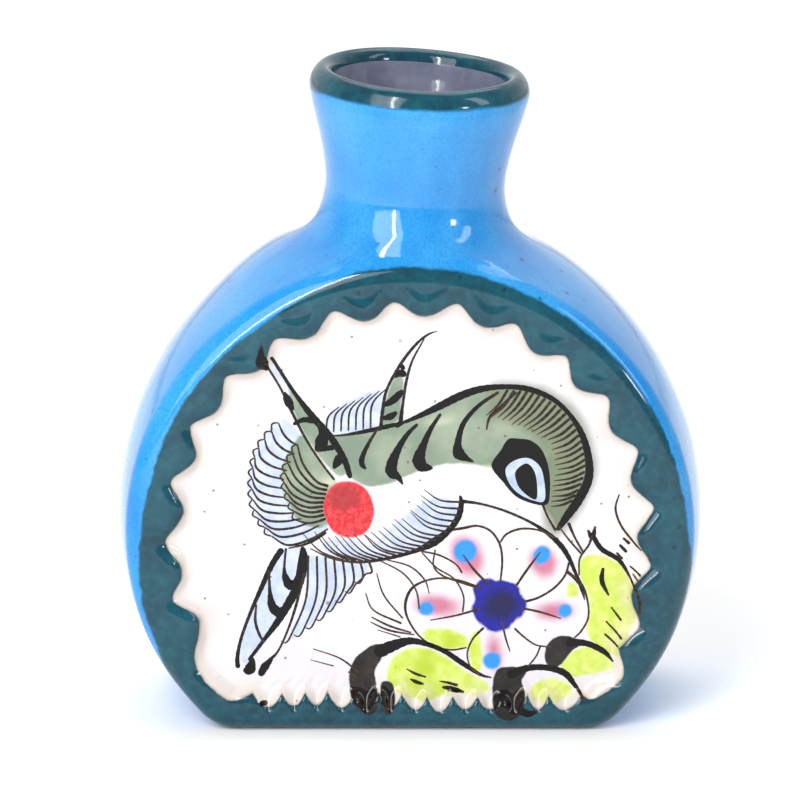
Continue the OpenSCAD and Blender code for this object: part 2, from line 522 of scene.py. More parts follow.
def build(name, material, nodes):
    """One named object of the skin, with the whole skin's normals."""
    faces = quads.get(name, []) + tris.get(name, [])
    used = np.unique(np.concatenate([f.ravel() for f in faces]))
    table = np.full(len(ALL), -1)
    table[used] = np.arange(len(used))
    mesh = bpy.data.meshes.new(name)
    mesh.from_pydata((ALL[used] * MM).tolist(), [], [tuple(r) for f in faces for r in table[f].tolist()])
    mesh.polygons.foreach_set("use_smooth", [True] * len(mesh.polygons))
    mesh.update()
    mesh.normals_split_custom_set_from_vertices(NORMALS[used].tolist())
    obj = in_scene(name, mesh)
    mesh.materials.append(material)
    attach(obj, "root")
    if nodes:
        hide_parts(*nodes)
    return obj, used


# ---------------------------------------------------------- the painting
# Places on a face are (x, z) in mm, and a brush stroke's points are (x, z, width).
def closed(points, n=90):
    """A smooth closed outline through the points."""
    p = [points[-1]] + list(points) + list(points[:2])
    line = spline(p, 400)
    a = np.argmin(((line[:120] - np.array(points[0])) ** 2).sum(1))
    b = 280 + np.argmin(((line[280:] - np.array(points[0])) ** 2).sum(1))
    return line[np.linspace(a, b, n, endpoint=False).astype(int)]


def poly_distance(x, z, poly):
    """Signed distance to a closed outline, inside negative."""
    d = np.full(len(x), 1e9)
    odd = np.zeros(len(x), bool)
    for (ax, az), (bx, bz) in zip(poly, np.roll(poly, -1, axis=0)):
        ex, ez = bx - ax, bz - az
        t = np.clip(((x - ax) * ex + (z - az) * ez) / (ex * ex + ez * ez + 1e-12), 0, 1)
        d = np.minimum(d, (x - ax - t * ex) ** 2 + (z - az - t * ez) ** 2)
        if az != bz:
            odd ^= ((az > z) != (bz > z)) & (x < (z - az) / (bz - az) * ex + ax)
    return np.where(odd, -np.sqrt(d), np.sqrt(d))


def spot(x, z, cx, cz, rx, rz, turn=0.0):
    """Signed distance, near enough, to an oval."""
    c, sn = math.cos(turn), math.sin(turn)
    u, v = (x - cx) * c + (z - cz) * sn, -(x - cx) * sn + (z - cz) * c
    return (np.hypot(u / rx, v / rz) - 1) * min(rx, rz)


def washes(x, z, shapes):
    """Distance to the nearest of several shapes, clipped to 4 mm."""
    d = np.full(len(x), 4.0)
    for shape in shapes:
        if isinstance(shape, tuple):
            d = np.minimum(d, spot(x, z, *shape))
        else:
            d = np.minimum(d, poly_distance(x, z, closed(shape)))
    return np.maximum(d, -4.0)


def polar(c, r, deg):
    """The point r from c, at an angle from +x."""
    return (c[0] + r * math.cos(math.radians(deg)), c[1] + r * math.sin(math.radians(deg)))


def flower_eye(c, radius, wave):
    """Ragged round outline of a flower's middle; wave gets degrees and gives mm."""
    return [polar(c, radius + wave(a), a) for a in range(0, 360, 24)]


FLOWER = (15.0, 22.5)
# Washes of colour: lists of closed outlines, or of ovals (x, z, half width, half height, turn).
WASH = {
    "green": [
        [(-13.5, 52.2), (-8, 53), (-3, 54.2), (2, 56.2), (7, 58.8), (12, 60.3), (17, 60.6), (22, 59.7),
         (26, 57), (28.8, 53), (30, 48.5), (29.8, 44), (28, 40.5), (26, 37.5), (24.8, 35.8), (23.6, 38.5),
         (20, 43), (15, 46), (12, 47), (8, 47.3), (4, 46.8), (0, 45.3), (-3, 44), (-6.5, 43.2), (-9, 44),
         (-11.5, 46), (-12.5, 49)],
        [(-18.9, 52.2), (-20.6, 49.5), (-21.9, 46.3), (-21.7, 42.9), (-20.5, 39.7), (-19, 37.2),
         (-17, 36.2), (-14.4, 36.2), (-12.6, 38.5), (-12, 43.5), (-15.6, 48.6), (-17.4, 52)],
        [(-12, 45), (-10.5, 46.5), (-13.5, 52), (-17, 56), (-19.3, 59.8), (-20.6, 61.6), (-20, 57),
         (-17.5, 52), (-14.5, 47.5)],
        [(-4.8, 53.9), (-4.4, 57.5), (-3.5, 61), (-1.7, 64.2), (-1, 62), (-1.4, 58), (-1.9, 55)],
    ],
    "crown": [
        [(15, 60.2), (22, 59.4), (27, 56), (29.8, 49), (29.4, 43), (26.4, 38), (24.6, 36), (24, 40),
         (24.6, 46), (23.6, 51), (20, 54.5), (15, 57)],
    ],
    "blue": [
        [(-14, 43), (-17.5, 51), (-20, 54.6), (-22.3, 55.2), (-24.6, 52.4), (-26.8, 48.8), (-27.8, 44.5),
         (-27.1, 40.2), (-25.6, 36.8), (-23.7, 34.4), (-20.8, 33), (-17, 33.9), (-13.8, 36)],
        [(-21.5, 32.5), (-24, 28.5), (-27, 21), (-29, 15), (-28.8, 12), (-27, 12.5), (-24, 17), (-20.5, 23),
         (-18.4, 29), (-18, 33)],
        [(-17.6, 31), (-17.8, 25), (-20, 18.5), (-21, 16), (-19, 16.8), (-16, 19.5), (-12.5, 22),
         (-9.3, 25.5), (-7, 29.8), (-12, 30.4)],
        [(-14.5, 52.8), (-13.6, 56.5), (-11.5, 58), (-8.5, 59.3), (-5, 60.5), (-4.2, 57), (-5, 53.5),
         (-9.5, 52.6)],
        [(-6.5, 33), (-3, 36.5), (1, 40), (5, 41.5), (8.2, 40), (7.6, 37.5), (5, 34.5), (0, 31.8),
         (-6, 30.4), (-13, 31), (-15, 33.5), (-10, 34.2)],
        [(-23.9, 64.2), (-22.6, 64.9), (-20.6, 61.8), (-20.9, 58.6), (-22.2, 61)],
    ],
    "red": [(-10.4, 39.3, 4.3, 5.1, 0.15)],
    "dark": [(-11.2, 41.4, 2.5, 2.1, 0.2)],
    "leaf": [
        [(-3.7, 11.5), (-2, 14), (1, 14.8), (4, 14.3), (7, 12.5), (10, 10.3), (13, 8.7), (13.5, 7),
         (11, 6.2), (7, 6.4), (3, 5.3), (0, 5.8), (-3, 7.3), (-4, 9.3)],
        [(29, 30.5), (31, 31.4), (34, 30.8), (36.3, 29), (38.6, 25), (39, 21), (37.2, 17), (36, 13.5),
         (33.5, 13.8), (31.2, 15.5), (30, 18), (30.6, 21), (30, 25), (28.8, 27.5)],
        [(25.8, 11.8), (28, 14.2), (31, 14.9), (34, 13.2), (34.8, 11), (32, 10), (29.5, 9.6), (27.3, 9.4)],
        [(20.6, 6.5), (21.6, 8.5), (24, 9.3), (27, 8.5), (28, 6.6), (25.5, 5.2), (22.5, 5)],
        [(2, 17.2), (5, 18.3), (9, 17.2), (10, 15), (7, 14.4), (4, 15)],
        [(9.9, 14), (10.3, 17), (11.8, 17.5), (12.5, 13), (12, 10.3), (10.5, 11)],
        [(27.2, 26.8), (28.7, 25.6), (28.4, 23.8), (26.5, 24.2)],
    ],
    "pink": [
        (9.8, 31.0, 3.2, 4.6, 0.5),
        (22.6, 30.0, 3.0, 3.4, 0.2),
        (4.6, 22.2, 4.6, 2.6, -0.1),
        (24.4, 21.2, 4.2, 2.2, 0.1),
        (14.4, 14.2, 2.0, 4.0, 0.1),
    ],
    "dot": [
        (9.3, 31.9, 2.0, 2.2, 0.0),
        (22.4, 31.2, 1.5, 1.9, -0.5),
        (2.8, 21.7, 1.5, 1.3, 0.0),
        (26.4, 21.3, 1.35, 1.25, 0.0),
        (14.0, 12.4, 1.7, 1.6, 0.0),
    ],
    "royal": [
        flower_eye(FLOWER, 4.5, lambda a: 0.35 * math.sin(0.7 * a) + 0.3 * math.cos(0.31 * a)),
    ],
    "blob": [
        [(-10.4, 7.5), (-10.3, 11), (-8.6, 13.8), (-5.6, 15.5), (-3.9, 14.8), (-4.8, 12.6), (-6, 10.5),
         (-5.6, 8.2), (-5.4, 5.5), (-5.8, 3.7), (-7.2, 3.1), (-9, 4.2), (-10, 5.8)],
        [(-4.9, 8.6), (-3.2, 8.4), (-2.4, 6.2), (-2.8, 3.5), (-4.1, 2.9), (-5, 4.4), (-5.1, 6.6)],
        [(14.2, 9.5), (15.5, 11.2), (18, 11.3), (20, 10.4), (19.2, 8.6), (19.9, 6.5), (19.6, 4.1),
         (17.7, 2.1), (15.3, 2.4), (14.2, 4.5), (14, 7)],
        [(23, 12.6), (23.3, 15.1), (25, 16.8), (27.5, 16.7), (30, 15.6), (28, 14.3), (26.9, 12.9),
         (25.5, 11.4), (23.9, 11.3)],
    ],
    "navy": [(15.6, 22.4, 3.0, 2.6, 0.2)],
}

BACK_FLOWER = (0.0, 40.0)
BACK_LEAF = [(2.5, 21.5), (6, 25.5), (11, 27.5), (16.5, 26.5), (20.5, 23), (16, 21.2), (11, 20.4), (6, 20.2)]


def back_wash():
    """A single flower and two leaves in the middle of the back."""
    out = {name: [] for name in WASH}
    for k in range(5):
        deg = 90 + 72 * k
        turn = math.radians(deg)
        out["pink"].append((*polar(BACK_FLOWER, 8.0, deg), 4.4, 2.5, turn))
        out["dot"].append((*polar(BACK_FLOWER, 9.8, deg), 1.6, 1.5, 0.0))
    out["royal"] = [flower_eye(BACK_FLOWER, 4.2, lambda a: 0.35 * math.sin(0.7 * a))]
    out["leaf"] = [BACK_LEAF, [(-q[0], q[1] - 1.5) for q in BACK_LEAF]]
    out["navy"] = [(*BACK_FLOWER, 3.0, 2.6, 0.2)]
    return out


def inks_back():
    """Petals, stem and leaves of the back's flower."""
    out = []
    # (distance from the middle, degrees off the petal's axis, width)
    petal = [(4.2, -20, 0.3), (8.5, -30, 0.35), (12.4, -22, 0.4), (13.8, -4, 0.4), (13.2, 12, 0.35),
             (9.5, 27, 0.35), (4.4, 20, 0.4)]
    vein = [(9.4, 3, 0.2), (6.5, 1, 0.4), (4, 0, 0.4)]
    for k in range(5):
        for line in (petal, vein):
            out.append([(*polar(BACK_FLOWER, r, 90 + 72 * k + a), w) for r, a, w in line])
    out.append([(0.6, 27, 0.4), (1.2, 22, 0.5), (0.4, 16, 0.7), (-1.2, 11.5, 0.4)])
    for side, drop in ((1, 0), (-1, 1.5)):
        arch = [(1, 19, 0.5), (3.2, 22.6, 1.2), (6.5, 25.9, 2.2), (11, 27.6, 1.7), (16, 26.8, 0.9),
                (21, 23, 0.4)]
        rib = [(4, 21, 0.3), (9, 23.2, 0.45), (14, 23.9, 0.35), (18, 23.2, 0.15)]
        for line in (arch, rib):
            out.append([(side * x, z - drop, w) for x, z, w in line])
        for k in range(4):
            x = 7 + 2.6 * k
            out.append([(side * x, 22.9 - drop, 0.3), (side * (x + 1.5), 21.6 - drop, 0.2)])
    for k in range(5):
        blade = (-7.4 + 3.6 * k, 14.5 + (k % 2), 0.15)
        out.append([(-6 + 3 * k, 9.5, 0.4), (-6.6 + 3.2 * k, 12, 0.3), blade])
    return out


BIRD = [  # the bird's brush strokes
    # back and crown
    [(-14, 52.3, 0.25), (-11.5, 52.4, 0.4), (-8, 53, 0.7), (-4, 53.9, 0.8), (-1, 54.7, 0.6), (2, 56, 0.95),
     (5, 57.5, 1.3), (8.5, 59.3, 1.4), (12, 60.5, 1.2), (16, 60.9, 0.9), (20, 60.5, 1.0), (24, 58.8, 0.9),
     (27, 56, 0.8), (29.2, 52.3, 1.1), (30.3, 48, 1.3), (30.2, 44.5, 1.5), (28.6, 41, 1.6), (26.6, 38, 1.4),
     (25, 35.6, 0.7)],
    # cheek, bill and breast
    [(22.4, 40.5, 0.5), (23.4, 38, 0.35), (24.8, 35.5, 0.5)],
    [(8.5, 40.8, 0.7), (12, 40.3, 0.45), (16, 39.1, 0.45), (20, 37.3, 0.5), (23, 35.4, 0.7),
     (25.5, 33.1, 0.95), (27, 30.8, 0.8), (28.2, 28, 0.6), (29.2, 25.5, 0.7), (29.8, 23.2, 0.2)],
    [(26.6, 28.3, 0.4), (28, 27.2, 0.6), (29.1, 25.8, 0.5)],
    [(8.5, 41.8, 0.4), (8.7, 40.3, 0.9), (8.2, 38, 1.1), (6.6, 35.6, 1.1), (4, 33.5, 1.5), (1, 32, 0.8),
     (-3, 30.8, 0.6), (-7, 30.1, 0.55), (-10, 30.0, 0.4), (-13.5, 30.7, 0.35), (-17, 32.4, 0.2)],
    # stripes on the back
    [(-5.5, 53.5, 0.4), (-7, 51, 0.6), (-8.1, 48.5, 0.9), (-8.1, 47.2, 0.9), (-7.4, 46.4, 0.3)],
    [(1.3, 54.4, 0.5), (-0.5, 52.5, 0.8), (-2, 50, 1.2), (-3, 47.6, 1.8), (-3.1, 45.9, 2.0), (-2, 45, 1.1),
     (-1.2, 43.7, 0.3)],
    [(5.2, 56.2, 0.5), (3.5, 53.5, 0.8), (2.2, 50.5, 1.3), (1.5, 48.1, 2.2), (2.2, 46.9, 2.0),
     (3.9, 46.6, 0.4)],
    [(15, 60, 0.5), (11.5, 57.5, 0.7), (9, 54.4, 0.85), (8.1, 51, 1.2), (8.3, 49.2, 2.1), (9.6, 48.3, 1.0),
     (10.8, 47.7, 0.3)],
    [(18, 60, 0.5), (15.5, 57.6, 0.5), (13.5, 55.6, 0.5), (12.9, 53.3, 0.25)],
    # upright wing
    [(-5, 53.5, 0.6), (-4.6, 57, 0.6), (-3.9, 60.5, 0.5), (-1.5, 65, 0.55), (1, 68.3, 0.5), (3, 70, 0.4),
     (4.6, 70.6, 0.12)],
    [(-1.6, 54.8, 0.8), (-1.2, 58, 0.5), (-0.6, 62, 0.5), (0.4, 65.5, 0.4), (2.4, 69.3, 0.25)],
    [(-4.8, 57.5, 0.5), (-3.2, 58.3, 1.2), (-1.9, 59.5, 1.2), (-1.2, 60.4, 0.4)],
    [(-2.7, 62.5, 0.3), (-1.6, 63.3, 1.3), (-0.7, 62.8, 0.9)],
    [(-1.5, 65, 0.4), (-1.1, 63.8, 1.0)],
    [(-4.8, 55.3, 0.5), (-3.3, 55.7, 1.2), (-2.2, 56.5, 0.5)],
    [(-1.2, 54.9, 1.2), (-2.5, 53.8, 0.6)],
    # long left wing
    [(-10.1, 44.8, 0.8), (-11.1, 48, 1.1), (-13.4, 52, 1.2), (-16.5, 55.7, 1.2), (-19.5, 59.8, 0.7),
     (-22, 63.8, 0.6), (-23.5, 66.2, 0.6)],
    [(-12.8, 44.5, 0.4), (-15, 47.5, 0.4), (-17.5, 51.5, 0.45), (-20, 56.5, 0.5), (-21.8, 60.5, 0.4),
     (-24, 64.3, 0.4)],
    [(-23.9, 63.8, 0.5), (-24.9, 65.2, 2.1), (-25.1, 67, 1.1), (-25, 69.2, 0.12)],
    [(-21.3, 60, 0.4), (-20.6, 58.4, 1.5), (-19.8, 56.7, 0.7)],
    [(-19.8, 54.3, 0.6), (-18, 55.1, 0.9), (-16, 54.9, 1.1)],
    [(-16, 49.6, 0.5), (-15, 51.2, 2.3), (-14.9, 52.9, 1.2), (-15.6, 54.5, 0.5)],
    [(-15.8, 49.6, 0.4), (-14, 50.1, 0.9), (-12.6, 50.3, 0.9)],
    [(-13, 46.5, 0.5), (-12.1, 48, 1.7), (-11.4, 49.1, 0.9)],
    # long lower feather
    [(-21.7, 32.4, 1.1), (-23.5, 29.5, 1.0), (-25.5, 25, 0.8), (-27.2, 21, 0.6), (-28.8, 16.5, 0.55),
     (-29.5, 13, 0.7), (-29.4, 11, 0.9)],
    [(-21.1, 32.5, 0.4), (-21.4, 29, 0.5), (-21.2, 27.2, 1.2), (-20.3, 25.8, 1.8), (-19.2, 27, 1.0),
     (-18.7, 30, 0.8), (-18.2, 32.8, 0.7)],
    [(-18.2, 32.6, 0.9), (-18.2, 30, 1.7), (-19, 26, 1.6), (-20.5, 23, 1.5), (-22.5, 19.5, 1.2),
     (-25, 16, 0.7), (-27.6, 12.4, 0.6)],
    [(-24, 28.5, 0.4), (-23.9, 25, 0.6), (-23.5, 22.2, 1.5), (-22.3, 21, 1.8), (-21.3, 22, 0.9)],
    [(-26.2, 22.5, 0.3), (-26.4, 19.5, 0.5), (-25.7, 17, 0.5), (-24.9, 15.7, 0.4)],
    [(-28.5, 10.4, 1.0), (-27.4, 10.9, 2.0), (-26.8, 12.9, 0.5)],
    [(-18, 28, 0.4), (-19.5, 22, 0.5), (-21, 17.5, 0.4), (-22.6, 14, 0.4), (-24.2, 12.3, 0.7)],
    [(-23.5, 12.8, 0.5), (-24.8, 11.3, 1.4), (-25.7, 9.6, 1.0)],
    [(-20.7, 32.4, 0.25), (-17.2, 33.4, 0.5), (-14.3, 35.4, 0.8)],
]


def bird_rows():
    """The rows of fine strokes on the bird, made along guide curves or by a rule."""
    out = []
    # hatching from the crown's edge in to the brow
    crown = spline(
        [(16.5, 60.4), (20.5, 60), (24, 58.2), (27, 55.4), (29, 51.5), (29.8, 47.5), (29, 43.5), (27, 40)],
        27,
    )
    brow = spline(
        [(12.8, 55.8), (15.8, 54.6), (19, 53.6), (22, 52), (24, 49.5), (24.4, 46), (23.9, 42.5),
         (23.6, 38.8)],
        27,
    )
    r = np.random.default_rng(41)
    for a, b in zip(crown[:-1], brow[:-1]):
        cut = 0.86 + 0.14 * r.random()
        e = a + (b - a) * cut
        m = (a + e) / 2 + np.array([0.25, -0.35]) * (0.6 + 0.5 * r.random())
        out.append([(*a, 0.5), (*m, 0.42 + 0.1 * r.random()), (*e, 0.14)])
    # breast feathers, up and left from the breast's edge
    breast = spline(
        [(8.6, 40.6), (8.1, 37.8), (6.4, 35.4), (3.5, 33.2), (0, 31.7), (-4, 30.6), (-8, 30.1),
         (-11.5, 30.3)],
        22,
    )
    for k, e in enumerate(breast):
        t = k / 21
        a = e + np.array([-6.4 + 0.7 * r.normal() * 0.5, 2.6 + 2.4 * t + 0.3 * r.normal()])
        m = (a + e) / 2 + np.array([-0.4, -0.75])
        out.append([(*a, 0.12), (*m, 0.3), (*e, 0.42)])
    # fringe on the back
    for k in range(7):
        x = -14.2 + 1.25 * k
        z = 52.8 + 0.12 * k
        lean = 2.2 + 0.12 * k
        tall = 4.6 + 0.45 * k
        out.append([(x, z, 0.3), (x + 0.35, z + tall * 0.6, 0.35), (x + lean, z + tall, 0.16)])
    # fan of short feathers left of the red spot
    blue = [
        [(-22.3, 54.6), (-21.4, 52.6), (-20.2, 51.3), (-18.9, 50.6)],
        [(-26.2, 48.8), (-26, 46.8), (-24.4, 44.8), (-21.6, 43.2)],
        [(-26.6, 40), (-24.9, 38.6), (-22.1, 38.1), (-19.4, 38.4)],
        [(-23.6, 34.6), (-20.8, 33), (-17, 34), (-13.9, 35.9)],
    ]
    green = [
        [(-19.1, 50.7), (-18.1, 47.3), (-15.9, 44.3), (-13.8, 43.4)],
        [(-21.4, 44.8), (-19.9, 42), (-17.3, 40.2), (-14.7, 39.8)],
        [(-19.1, 37.3), (-17.3, 36.9), (-15.6, 37.2), (-14.3, 37.7)],
    ]
    for keys, n, widths in ((blue, 13, (0.25, 0.42, 0.42, 0.3)), (green, 9, (0.3, 0.42, 0.45, 0.55))):
        family = [spline([key[m] for key in keys], n) for m in range(4)]
        tips = family[0]
        for k in range(n):
            out.append([(*family[m][k], widths[m]) for m in range(4)])
            if k:
                mid = (tips[k - 1] + tips[k]) / 2
                away = mid - np.array([-12.0, 42.0])
                mid = mid + away / np.linalg.norm(away) * 0.7
                out.append([(*tips[k - 1], 0.22), (*mid, 0.34), (*tips[k], 0.28)])
    # hanging fringe below the belly
    for k in range(8):
        t = k / 7
        base = (-17.3 + 10.2 * t, 31.2 - 0.9 * t)
        tip = (-21.2 + 12.6 * t**0.9, 15.6 + 10.6 * t**1.15)
        mid = (base[0] * 0.55 + tip[0] * 0.45 + 1.3, base[1] * 0.5 + tip[1] * 0.5)
        turn_in = (tip[0] + 1.0, tip[1] + 1.6, 0.32)
        hook = (tip[0] - 0.9, tip[1] + 0.3, 0.14)
        out.append([(*base, 0.4), (*mid, 0.38), turn_in, (*tip, 0.3), hook])
    return out


PETALS = [  # outlines, veins and hairs of the flower
    [(12.2, 25.3, 0.4), (8.5, 26.7, 0.35), (5, 27.1, 0.35), (2, 26.4, 0.4), (0.1, 25, 0.5),
     (-0.8, 22.5, 0.5), (-0.4, 20, 0.4), (1.4, 17, 0.35), (4, 15, 0.35), (7, 14.3, 0.35),
     (9.7, 14.7, 0.3)],
    [(4.3, 32.2, 0.3), (4, 29.3, 0.3), (5.5, 27.6, 0.35), (8, 26.6, 0.4), (11.5, 25.4, 0.45)],
    [(6.5, 35.6, 0.4), (9, 36, 0.5), (11.5, 36.4, 0.4), (13.8, 35.4, 0.4), (15.3, 33, 0.4), (15.7, 30, 0.4),
     (15.4, 26.5, 0.35)],
    [(15.2, 33.3, 0.3), (16.5, 35, 0.4), (19, 35.9, 0.4), (22, 35.6, 0.35), (24.5, 34.3, 0.3)],
    [(27.1, 30, 0.4), (26.4, 27.6, 0.4), (24.6, 25.4, 0.4), (22, 23.7, 0.4), (19.6, 22.9, 0.5)],
    [(26.8, 28.4, 0.4), (29.2, 26, 0.5), (30.3, 23, 0.35), (30.4, 20, 0.35), (29.2, 17.6, 0.35),
     (28, 16.4, 0.3)],
    [(17.8, 18.2, 0.4), (19.5, 16.6, 0.35), (21.5, 15.2, 0.3), (24, 14.8, 0.3)],
    [(22.3, 15, 0.3), (21.6, 13.2, 0.3), (20.2, 11.3, 0.3)],
    [(12.6, 18.3, 0.45), (10.7, 16.2, 0.35), (9.8, 13.6, 0.3), (10.4, 11.2, 0.25), (12, 9.8, 0.3)],
    # veins from the middle
    [(9, 31.3, 0.2), (11, 28.5, 0.45), (13.6, 25.8, 0.4)],
    [(22.2, 31.8, 0.2), (20, 28.7, 0.45), (18, 25.6, 0.4)],
    [(3.4, 19.6, 0.2), (8, 20.5, 0.35), (12, 21.7, 0.45)],
    [(25.8, 19.9, 0.2), (22.5, 21, 0.4), (19, 21.8, 0.4)],
    [(17.1, 14, 0.2), (16.3, 16.6, 0.35), (15.7, 19.5, 0.3)],
    # loose hairs about it
    [(-5, 30.2, 0.22), (-1.2, 28, 0.3), (1, 25, 0.3), (1.6, 21.6, 0.3)],
    [(-4, 30.4, 0.22), (0, 29.2, 0.3), (2.5, 26.8, 0.3), (3.3, 24.3, 0.15)],
    [(1.5, 32, 0.3), (5, 31.2, 0.35), (7.8, 29.6, 0.3), (8.9, 28, 0.35)],
    [(2, 31.7, 0.25), (4.5, 29, 0.3), (7.5, 27, 0.3), (9.1, 24, 0.3), (9, 21, 0.3)],
    [(25.3, 36.3, 0.25), (27.3, 33.6, 0.35), (29.3, 31.3, 0.4)],
    [(26.9, 37, 0.6), (28, 34.4, 0.4), (29.6, 31.5, 0.4)],
]


LEAVES = [  # the leaves, their dark arches and the grass
    [(-6, 13.6, 2.4), (-3, 15, 2.0), (0, 15.9, 1.3), (3, 15.3, 0.9), (6, 14, 0.9), (9, 11.9, 0.95),
     (12, 9.9, 0.6), (14, 9.3, 0.3)],
    [(-0.6, 10.9, 0.2), (1, 10, 0.5), (2.8, 9.4, 0.3)],
    [(0, 9.1, 0.3), (1.2, 8.5, 0.7), (2.4, 8.1, 0.3)],
    [(5, 8.7, 0.2), (6.5, 8.4, 0.5), (8.2, 7.9, 0.5)],
    [(5.5, 7.6, 0.4), (7.2, 7.3, 0.95), (9.3, 6.7, 0.4)],
    [(16.6, 9.6, 1.8), (20, 11, 1.2), (23.5, 11.1, 1.1), (26.5, 10.1, 1.2), (28.2, 8, 0.8),
     (30, 5.6, 0.25)],
    [(18.4, 4.2, 1.6), (20.3, 3.4, 1.3), (21.8, 3.8, 0.4)],
    [(26.6, 15.6, 1.6), (30, 15.5, 1.1), (33, 14.1, 1.0), (34.8, 12.2, 0.3)],
    [(30.2, 35.7, 0.35), (31, 34.4, 1.0), (31.5, 36.4, 0.3)],
    [(31, 34.8, 0.8), (32.6, 32.3, 0.9), (35.6, 30.3, 0.8), (37.6, 27, 0.4), (39, 23.8, 0.55),
     (39.1, 21, 0.4)],
    [(28.8, 27.6, 0.3), (28.9, 30.6, 0.35), (30.4, 33, 0.4), (30.9, 34.6, 0.5)],
    [(32.9, 29, 0.5), (32.7, 26.6, 0.85), (33.9, 24, 0.35)],
    [(36.2, 34.3, 0.4), (37.4, 33.2, 0.6)],
    [(35.6, 33.1, 0.5), (36.9, 31.7, 0.6)],
    [(35.1, 31.7, 0.4), (36.2, 30.5, 0.5)],
    [(35.5, 42, 0.25), (34.9, 39.4, 0.4), (35.9, 36.4, 0.4), (38, 33.6, 0.4), (39.4, 32.2, 0.3)],
    [(37.4, 29.3, 0.3), (39.3, 27.6, 0.4)],
    [(37.9, 27.9, 0.3), (39.2, 26.4, 0.35)],
    [(34.3, 22, 0.3), (36.1, 19.5, 0.45)],
    [(33.4, 19.5, 0.3), (36.2, 16.4, 0.45)],
    [(33.2, 17.2, 0.4), (35.6, 15, 0.4)],
    # grass left of the flower
    [(-7.6, 24.5, 0.2), (-6.2, 21.4, 0.3), (-1.4, 19, 0.4)],
    [(-5.7, 28, 0.18), (-4.4, 24, 0.3), (-1.2, 19.9, 0.3)],
    [(-6.6, 20.2, 0.25), (-3.5, 18.6, 0.4), (0.2, 17.4, 0.3)],
    [(-6.8, 19.3, 0.2), (-3.5, 17.8, 0.4), (0.8, 17, 0.25)],
    [(-5.6, 17.9, 0.15), (-1.6, 16.6, 0.3)],
    [(-16.6, 14.5, 0.18), (-12, 12.8, 0.3), (-8.8, 10.3, 0.45)],
    [(-17, 12.5, 0.15), (-13, 11.4, 0.25)],
    [(-10.6, 10.4, 0.3), (-8.8, 9.1, 0.4)],
    [(-25.8, 5.2, 0.9), (-24.3, 5.0, 0.8)],
]


# outlines of the eye's three films
EYE = [
    (13.8, 47), (15.4, 49.8), (16.6, 51.7), (18.4, 51.8), (20.6, 51.4), (22.5, 49.5), (23.6, 46), (23.7, 42),
    (23.2, 40.2), (21, 40.3), (18, 41.6), (15.9, 44),
]
EYE_RING = [
    (16.2, 46.4), (17.6, 47.9), (20, 48.4), (22, 46.9), (22.8, 44), (22.8, 40.9), (21, 40.9), (18.5, 42.1),
    (16.8, 44),
]
PUPIL = [
    (17.8, 45.6), (18.6, 46.9), (20, 47.4), (21.2, 45.7), (21.6, 42.6), (21.3, 41.1), (19.9, 41.8),
    (18.4, 43.4),
]


